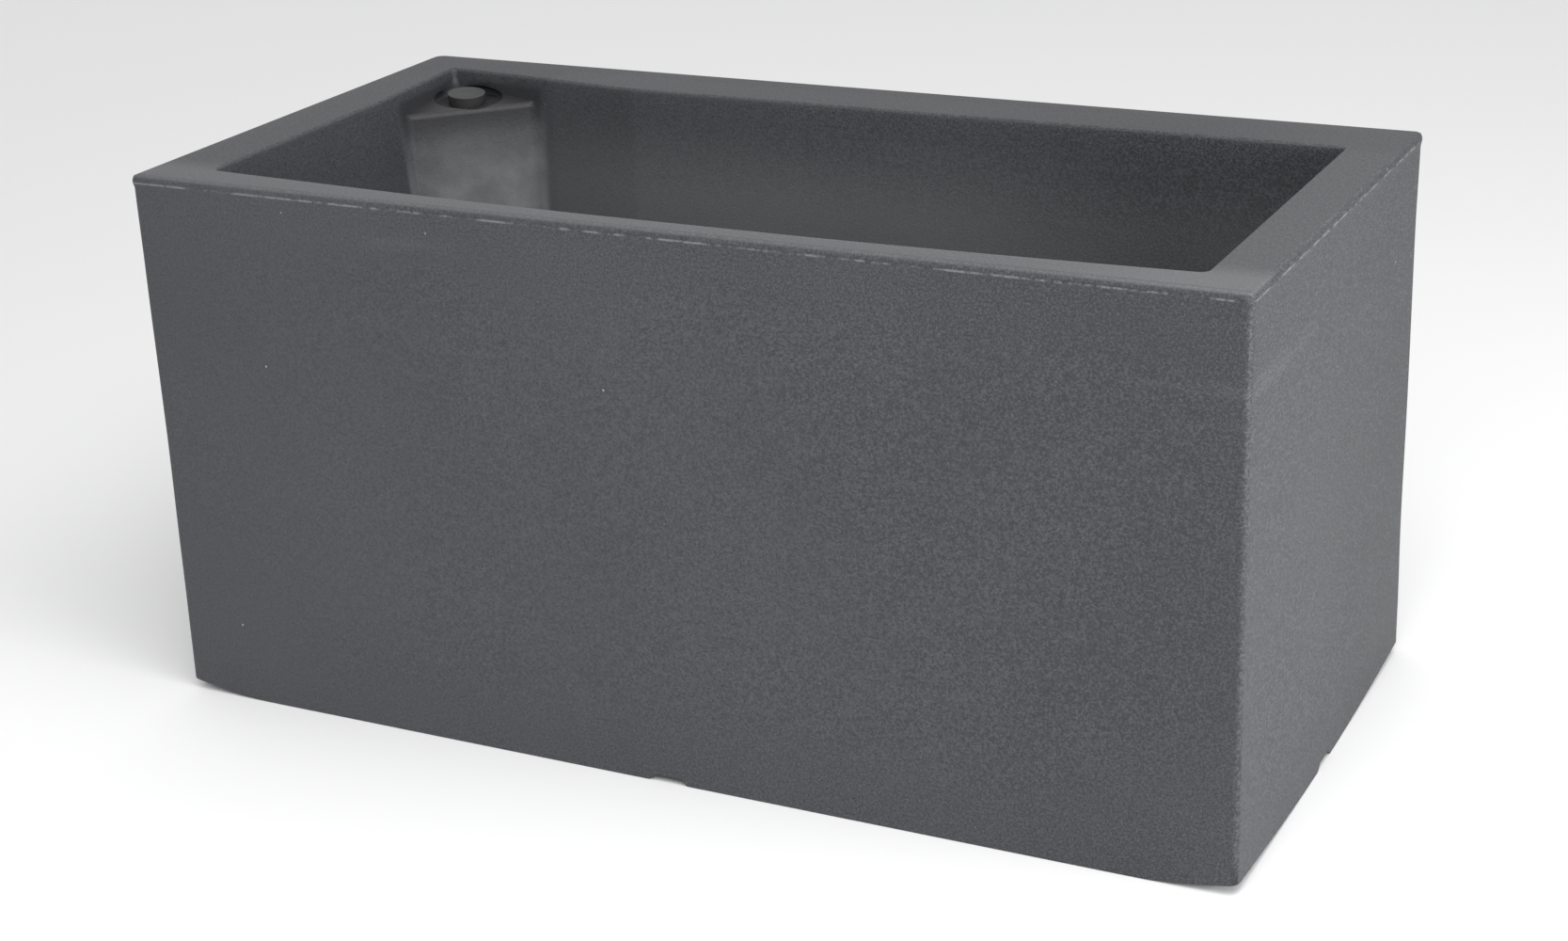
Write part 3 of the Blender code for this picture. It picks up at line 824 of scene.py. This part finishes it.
@dataclass
class TroughShell:
    """The moulded trough, with its soft walls, parting flash and lifted corners."""

    finish: bpy.types.Material
    length: float = 1.024
    depth: float = 0.500
    height: float = 0.500
    parting_z: float = 0.4932
    cell: float = 0.024
    wall_dip: float = 0.0022
    ripple: float = 0.0011
    corner_lift: float = 0.0105
    lift_along_x: float = 0.085
    lift_along_y: float = 0.24
    lift_up: float = 0.16
    groove_low: float = 0.4878
    groove_high: float = 0.4915
    groove_depth: float = 0.008
    skin: float = 0.0035
    cell_shift: float = 0.0007
    flash_height: float = 0.0004

    def copy_node(self) -> bpy.types.Object:
        """Copy the CAD trough and merge its loose triangles into clean faces.

        Returns:
            The copy, with its groove closed.
        """
        source = frame["nodes"]["planter_body"]
        piece = bpy.data.objects.new("trough_shell", source.data.copy())
        piece.data.name = "trough_shell"
        bpy.context.scene.collection.objects.link(piece)
        with edit_mode(piece):
            bpy.ops.mesh.select_all(action="SELECT")
            bpy.ops.mesh.remove_doubles(threshold=2e-6)
            self.close_groove(piece)
            bpy.ops.mesh.select_all(action="SELECT")
            bpy.ops.mesh.dissolve_limited(angle_limit=math.radians(0.4))
        return piece

    def close_groove(self, piece: bpy.types.Object) -> None:
        """Close the groove under the rim's band with one sloping strip, in edit mode.

        Args:
            piece: The shell being edited.
        """
        def in_groove(place: Vector, normal: Vector) -> bool:
            """Say whether a face is part of the groove."""
            outer = (abs(place.x) > self.length / 2 - self.groove_depth
                     or abs(place.y) > self.depth / 2 - self.groove_depth)
            return (outer and abs(normal.z) > 0.2
                    and self.groove_low < place.z < self.groove_high)

        LOG.info("groove under the band: %d faces", pick(piece, "FACE", in_groove))
        bpy.ops.mesh.delete(type="FACE")
        bpy.ops.mesh.select_mode(type="EDGE")
        bpy.ops.mesh.select_all(action="DESELECT")
        bpy.ops.mesh.select_non_manifold(extend=False, use_wire=False, use_boundary=True,
                                         use_multi_face=False, use_non_contiguous=False,
                                         use_verts=False)
        bpy.ops.mesh.bridge_edge_loops()

    def slice_up(self, piece: bpy.types.Object) -> None:
        """Cut every face into cells, so that the walls can bend softly.

        Args:
            piece: The shell to cut.
        """
        def cut(place: Point, way: Point) -> None:
            """Bisect the whole mesh once."""
            bpy.ops.mesh.select_all(action="SELECT")
            bpy.ops.mesh.bisect(plane_co=place, plane_no=way, threshold=1e-5)

        with edit_mode(piece):
            for size, way in ((self.length, (1, 0, 0)), (self.depth, (0, 1, 0))):
                count = int(size / self.cell)
                for i in range(1, count):
                    at = -size / 2 + size * i / count + self.cell_shift
                    cut(tuple(at * w for w in way), way)
            count = int(self.height / self.cell)
            for i in range(1, count):
                cut((0, 0, self.height * i / count + self.cell_shift), (0, 0, 1))
            for step in (-self.cell_shift, 0.0, self.cell_shift):
                cut((0, 0, self.parting_z + step), (0, 0, 1))

    def weigh(self, piece: bpy.types.Object, name: str,
              rule: Callable[[Vector, Vector], float]) -> None:
        """Fill a vertex group from a rule of place and normal.

        Args:
            piece: The shell to weigh.
            name: The group's name.
            rule: Takes a place and a normal, and gives a weight.
        """
        group = piece.vertex_groups.new(name=name)
        for vertex in piece.data.vertices:
            weight = rule(vertex.co, vertex.normal)
            if weight > 0.0005:
                group.add([vertex.index], min(1.0, weight), "REPLACE")

    def on_outside(self, place: Vector) -> bool:
        """Say whether a place is on the outer walls."""
        return (abs(place.x) > self.length / 2 - self.skin
                or abs(place.y) > self.depth / 2 - self.skin)

    def dip_rule(self, place: Vector, _: Vector) -> float:
        """Weigh the inward dip, fullest in the middle of each outer wall.

        Args:
            place: A vertex of the shell.

        Returns:
            Its weight.
        """
        if not self.on_outside(place) or not 0.0 < place.z < self.parting_z - 0.001:
            return 0.0
        up = math.sin(math.pi * min(1.0, place.z / self.parting_z))
        along = (place.y / self.depth if abs(place.x) > self.length / 2 - self.skin
                 else place.x / self.length)
        return up ** 0.8 * math.cos(math.pi * along) ** 0.5 if abs(along) < 0.5 else 0.0

    def ripple_rule(self, place: Vector, normal: Vector) -> float:
        """Weigh the soft ripple on the outer and inner walls.

        Args:
            place: A vertex of the shell.
            normal: Its normal.

        Returns:
            Its weight.
        """
        if abs(normal.z) > 0.4:
            return 0.0
        fade = min(1.0, max(0.0, (self.parting_z - 0.01 - place.z) / 0.05),
                   max(0.0, (place.z - 0.012) / 0.05))
        if self.on_outside(place):
            return fade
        inside = place.z > 0.115
        return 0.5 * fade if inside else 0.0

    def lift_rule(self, place: Vector, _: Vector) -> float:
        """Weigh the lift at the four feet of the trough.

        Args:
            place: A vertex of the shell.

        Returns:
            Its weight.
        """
        gap_x = (self.length / 2 - abs(place.x)) / self.lift_along_x
        gap_y = (self.depth / 2 - abs(place.y)) / self.lift_along_y
        far = math.hypot(max(0.0, gap_x), max(0.0, gap_y))
        if far >= 1.0 or place.z > self.lift_up:
            return 0.0
        return (1.0 - far) ** 1.7 * (1.0 - place.z / self.lift_up) ** 2

    def flash_rule(self, place: Vector, _: Vector) -> float:
        """Weigh the thin flash that stands out along the parting line.

        Args:
            place: A vertex of the shell.

        Returns:
            Its weight.
        """
        if abs(place.z - self.parting_z) > 0.0003 or not self.on_outside(place):
            return 0.0
        wave = (math.sin(41.0 * place.x + 3.0) * math.sin(17.0 * place.x)
                + math.sin(53.0 * place.y + 1.0))
        return 0.55 + 0.22 * wave

    def shape(self, piece: bpy.types.Object) -> None:
        """Bend the walls, raise the corners and draw out the flash.

        Args:
            piece: The shell to bend.
        """
        bpy.context.view_layer.update()
        self.weigh(piece, "dip", self.dip_rule)
        self.weigh(piece, "ripple", self.ripple_rule)
        self.weigh(piece, "lift", self.lift_rule)
        self.weigh(piece, "flash", self.flash_rule)
        apply_modifier(piece, "DISPLACE", direction="NORMAL", mid_level=0.0,
                       strength=-self.wall_dip, vertex_group="dip")
        waves = bpy.data.textures.new("wall_waves", "CLOUDS")
        waves.noise_scale = 0.16
        waves.noise_depth = 1
        apply_modifier(piece, "DISPLACE", direction="NORMAL", mid_level=0.62,
                       strength=2 * self.ripple, texture=waves, texture_coords="LOCAL",
                       vertex_group="ripple")
        apply_modifier(piece, "DISPLACE", direction="Z", mid_level=0.0,
                       strength=self.corner_lift, vertex_group="lift")
        apply_modifier(piece, "DISPLACE", direction="NORMAL", mid_level=0.0,
                       strength=self.flash_height, vertex_group="flash")

    def build(self) -> None:
        """Build and dress the shell."""
        piece = self.copy_node()
        self.slice_up(piece)
        self.shape(piece)
        shade(piece, 34.0)
        apply_modifier(piece, "WEIGHTED_NORMAL", keep_sharp=True, weight=60)
        dress(piece, self.finish)
        stand(piece, Body.TROUGH, Slot.SLATE, "planter_body")


# ---- the fittings --------------------------------------------------------------------


@dataclass
class FillStopper:
    """The tapered stopper on the corner shelf, dusty on top."""

    at: Point = (-0.4265, 0.1702, 0.4785)
    turn: float = math.radians(45.0)
    tip: float = math.radians(4.5)
    shift: Point = (-0.0016, 0.0016, 0.0)
    top: float = 0.0055
    length: float = 0.026
    radius_top: float = 0.0190
    radius_end: float = 0.0150

    def placing(self) -> Matrix:
        """Return the frame of the fill hole."""
        return (Matrix.Translation(self.at) @ Matrix.Rotation(self.turn, 4, "Z")
                @ Matrix.Rotation(self.tip, 4, "X") @ Matrix.Translation(self.shift))

    def build(self) -> None:
        """Build and dress the stopper."""
        low = self.top - self.length
        piece = lathe("fill_stopper_rubber", [
            (self.radius_end, low), (self.radius_top, self.top),
            (self.radius_top - 0.0030, self.top), (self.radius_top - 0.0034, self.top - 0.0003),
            (self.radius_top - 0.0100, self.top - 0.0004)], 64)
        placing = self.placing()
        piece.matrix_world = placing
        settle(piece)
        soften(piece, 0.0009, 3, 60.0)
        axis = placing.to_3x3() @ Vector((0.0, 0.0, 1.0))
        level = axis.dot(placing @ Vector((0.0, 0.0, self.top - 0.0008)))
        dress(piece, DullRubber("stopper_rubber", axis=tuple(axis), dusty_from=level).make())
        stand(piece, Body.STOPPER, Slot.RUBBER, "fill_stopper")


def joint_place(name: str) -> Point:
    """Return where the record puts the joint of this name, in metres."""
    joints = {joint["name"]: joint for joint in frame["record"]["behaviour"]["joints"]}
    return tuple(joints[name]["pos_m"])


@dataclass
class FloorDrain:
    """The sleeve, O-ring, screw plug and lift-out screen in the sump."""

    pipe: bpy.types.Material
    rubber: bpy.types.Material
    head_radius: float = 0.030
    head_height: float = 0.007
    core: float = 0.0168
    crest: float = 0.0180
    pitch: float = 0.003
    turns: float = 6.0

    def build_plug(self) -> None:
        """Build the fluted plug with its grip bar and thread."""
        under = joint_place("drain_turn")[2]
        top = under + self.head_height
        plug = lathe("drain_plug_body", [
            (self.core - 0.0016, under - 0.028), (self.core, under - 0.0262),
            (self.core, under), (self.head_radius, under), (self.head_radius, top),
            (self.head_radius - 0.004, top), (self.head_radius - 0.005, top - 0.0012),
            (0.006, top - 0.0012)], 72)
        with edit_mode(plug):
            def flute(place: Vector, normal: Vector) -> bool:
                """Choose every third side face of the head."""
                on_side = abs(normal.z) < 0.1 and Vector(place.xy).length > 0.029
                turn = math.degrees(math.atan2(place.y, place.x)) % 360.0
                return on_side and int(turn / 5.0) % 3 == 0

            pick(plug, "FACE", flute)
            bpy.ops.mesh.inset(thickness=0.0006, use_individual=True)
            bpy.ops.transform.shrink_fatten(value=-0.0010)
        bpy.ops.object.select_all(action="DESELECT")
        bpy.ops.mesh.primitive_cube_add(size=1.0, location=(0, 0, under + 0.0093))
        grip = bpy.context.active_object
        grip.scale = (0.046, 0.0076, 0.0070)
        settle(grip)
        with edit_mode(grip):
            pick(grip, "FACE", lambda place, normal: normal.z > 0.9)
            bpy.ops.transform.resize(value=(0.94, 0.72, 1.0),
                                     center_override=(0, 0, under + 0.0128))
        apply_modifier(grip, "BEVEL", width=0.0014, segments=3)
        apply_modifier(plug, "BOOLEAN", operation="UNION", solver="EXACT", object=grip)
        bpy.data.objects.remove(grip, do_unlink=True)
        soften(plug, 0.0004, 2, 40.0)
        dress(plug, self.pipe)
        stand(plug, Body.DRAIN_SCREW, Slot.PIPE, "drain_plug")
        thread = helix_ridge("drain_plug_thread", self.core, self.crest, self.pitch,
                             self.turns, under - 0.003)
        shade(thread, 50.0)
        dress(thread, self.pipe)
        stand(thread, Body.DRAIN_SCREW, Slot.PIPE)

    def build(self) -> None:
        """Build and dress the whole drain."""
        self.build_plug()
        dress_node("drain_bushing", self.pipe)
        dress_node("drain_o_ring", self.rubber)
        dress_node("drain_screen", self.pipe)


@dataclass
class ReservoirDrain:
    """The brass sleeve, gasket and hexagon plug low on the back wall."""

    pipe: bpy.types.Material
    rubber: bpy.types.Material
    brass: bpy.types.Material
    core: float = 0.0101
    crest: float = 0.0110
    pitch: float = 0.002
    turns: float = 7.0

    def point_back(self, piece: bpy.types.Object) -> None:
        """Turn a piece made along Z to point out of the back wall."""
        x, _, z = joint_place("tap_turn")
        piece.matrix_world = (Matrix.Translation((x, 0.0, z))
                              @ Matrix.Rotation(-math.pi / 2, 4, "X"))
        settle(piece)

    def build(self) -> None:
        """Build and dress the reservoir drain."""
        under = joint_place("tap_turn")[1]
        plug = lathe("reservoir_plug_body", [
            (self.core - 0.0012, under - 0.0205), (self.core, under - 0.019),
            (self.core, under), (0.0184, under), (0.0184, under + 0.0024),
            (0.0150, under + 0.0030), (0.0100, under + 0.0030)], 48)
        bpy.ops.object.select_all(action="DESELECT")
        bpy.ops.mesh.primitive_cylinder_add(vertices=6, radius=0.0134, depth=0.0075,
                                            location=(0, 0, under + 0.00555))
        head = bpy.context.active_object
        settle(head)
        with edit_mode(head):
            pick(head, "FACE", lambda place, normal: normal.z > 0.9)
            bpy.ops.mesh.inset(thickness=0.0035)
            bpy.ops.transform.translate(value=(0, 0, -0.0022))
        apply_modifier(head, "BEVEL", width=0.0006, segments=2, limit_method="ANGLE",
                       angle_limit=math.radians(35))
        apply_modifier(plug, "BOOLEAN", operation="UNION", solver="EXACT", object=head)
        bpy.data.objects.remove(head, do_unlink=True)
        self.point_back(plug)
        soften(plug, 0.0003, 2, 50.0)
        dress(plug, self.pipe)
        stand(plug, Body.TAP_SCREW, Slot.PIPE, "reservoir_plug")
        thread = helix_ridge("reservoir_plug_thread", self.core, self.crest, self.pitch,
                             self.turns, under - 0.002)
        self.point_back(thread)
        shade(thread, 50.0)
        dress(thread, self.pipe)
        stand(thread, Body.TAP_SCREW, Slot.PIPE)
        dress_node("reservoir_bushing", self.brass)
        dress_node("reservoir_gasket", self.rubber)


@dataclass
class MoistureSensor:
    """The grommet, housing and wick in the end wall of the liner."""

    pipe: bpy.types.Material
    rubber: bpy.types.Material
    felt: bpy.types.Material

    def build(self) -> None:
        """Dress the sensor."""
        dress_node("sensor_grommet", self.rubber)
        dress_node("sensor_housing", self.pipe)
        dress_node("sensor_wick", self.felt)


@dataclass
class WaterPort:
    """One port's grommet, nozzle and screen in the liner floor."""

    number: int
    pipe: bpy.types.Material
    rubber: bpy.types.Material
    steel: bpy.types.Material

    def build(self) -> None:
        """Dress the port."""
        dress_node(f"outlet_grommet_{self.number}", self.rubber)
        dress_node(f"outlet_nozzle_{self.number}", self.pipe)
        dress_node(f"outlet_screen_{self.number}", self.steel)


# ---- the studio ----------------------------------------------------------------------


@dataclass
class Studio:
    """The floor, lights and camera."""

    paper: bpy.types.Material
    eye: Point = (1.05845, -2.08734, 1.10971)
    azimuth: float = math.radians(26.94)
    elevation: float = math.radians(21.23)
    roll: float = math.radians(-2.19)
    lens: float = 62.74
    floor_size: float = 30.0

    def lay_floor(self) -> None:
        """Lay the pale floor."""
        bpy.ops.object.select_all(action="DESELECT")
        bpy.ops.mesh.primitive_plane_add(size=self.floor_size, location=(0, 0, -0.0004))
        floor = bpy.context.active_object
        floor.name = "studio_floor"
        dress(floor, self.paper)

    def hang_light(self, name: str, place: Point, aim: Point, size: tuple[float, float],
                   power: float) -> None:
        """Hang one soft rectangular light.

        Args:
            name: The light's name.
            place: Where it hangs.
            aim: The point it faces.
            size: Its width and height.
            power: Its power in watts.
        """
        data = bpy.data.lights.new(name, "AREA")
        data.shape = "RECTANGLE"
        data.size, data.size_y = size
        data.energy = power
        light = bpy.data.objects.new(name, data)
        light.location = place
        way = Vector(aim) - Vector(place)
        light.rotation_euler = way.to_track_quat("-Z", "Y").to_euler()
        bpy.context.scene.collection.objects.link(light)

    def fill_sky(self, strength: float, seen: float) -> None:
        """Surround the scene with even white light.

        Args:
            strength: Its brightness as light.
            seen: Its brightness behind the floor.
        """
        world = bpy.data.worlds.new("studio_world")
        world.use_nodes = True
        tree = world.node_tree
        background = tree.nodes["Background"]
        background.inputs["Color"].default_value = (1.0, 1.0, 1.0, 1.0)
        path = tree.nodes.new("ShaderNodeLightPath")
        pick_ray = tree.nodes.new("ShaderNodeMapRange")
        tree.links.new(path.outputs["Is Camera Ray"], pick_ray.inputs["Value"])
        pick_ray.inputs["To Min"].default_value = strength
        pick_ray.inputs["To Max"].default_value = seen
        tree.links.new(pick_ray.outputs["Result"], background.inputs["Strength"])
        bpy.context.scene.world = world

    def set_camera(self) -> None:
        """Place the camera."""
        back = Vector((math.sin(self.azimuth) * math.cos(self.elevation),
                       -math.cos(self.azimuth) * math.cos(self.elevation),
                       math.sin(self.elevation)))
        side = (-back).cross(Vector((0, 0, 1))).normalized()
        rise = side.cross(-back)
        right = side * math.cos(self.roll) + rise * math.sin(self.roll)
        up = rise * math.cos(self.roll) - side * math.sin(self.roll)
        data = bpy.data.cameras.new("studio_camera")
        data.lens = self.lens
        data.sensor_width = 36.0
        data.clip_end = 100.0
        camera = bpy.data.objects.new("studio_camera", data)
        turn = Matrix((right, up, back)).transposed().to_4x4()
        camera.matrix_world = Matrix.Translation(self.eye) @ turn
        bpy.context.scene.collection.objects.link(camera)
        bpy.context.scene.camera = camera

    def build(self) -> None:
        """Set up the studio."""
        self.lay_floor()
        self.hang_light("side_softbox", (2.7, -0.80, 0.62), (0.4, 0.0, 0.25), (1.7, 1.1), 45.0)
        self.hang_light("top_softbox", (0.9, -0.7, 2.1), (0.1, -0.1, 0.4), (1.8, 1.2), 22.0)
        self.hang_light("key_softbox", (0.5, -1.9, 1.75), (-0.3, 0.0, 0.4), (1.1, 0.8), 10.0)
        self.fill_sky(0.76, 1.0)
        self.set_camera()
        bpy.context.scene.view_settings.view_transform = "Standard"


def main() -> None:
    """Build every sub-assembly and the studio."""
    logging.basicConfig(level=logging.INFO, format="%(name)s: %(message)s")
    slate = SlatePolyethylene().make()
    rubber = DullRubber().make()
    pipe = BlackPolypropylene().make()
    brass = TurnedBrass().make()
    felt = WickingFelt().make()
    steel = StainlessSheet().make()

    Studio(StudioPaper().make()).build()
    TroughShell(slate).build()
    FillStopper().build()
    FloorDrain(pipe, rubber).build()
    ReservoirDrain(pipe, rubber, brass).build()
    MoistureSensor(pipe, rubber, felt).build()
    for number in range(1, 5):
        WaterPort(number, pipe, rubber, steel).build()


if __name__ == "__main__":
    main()
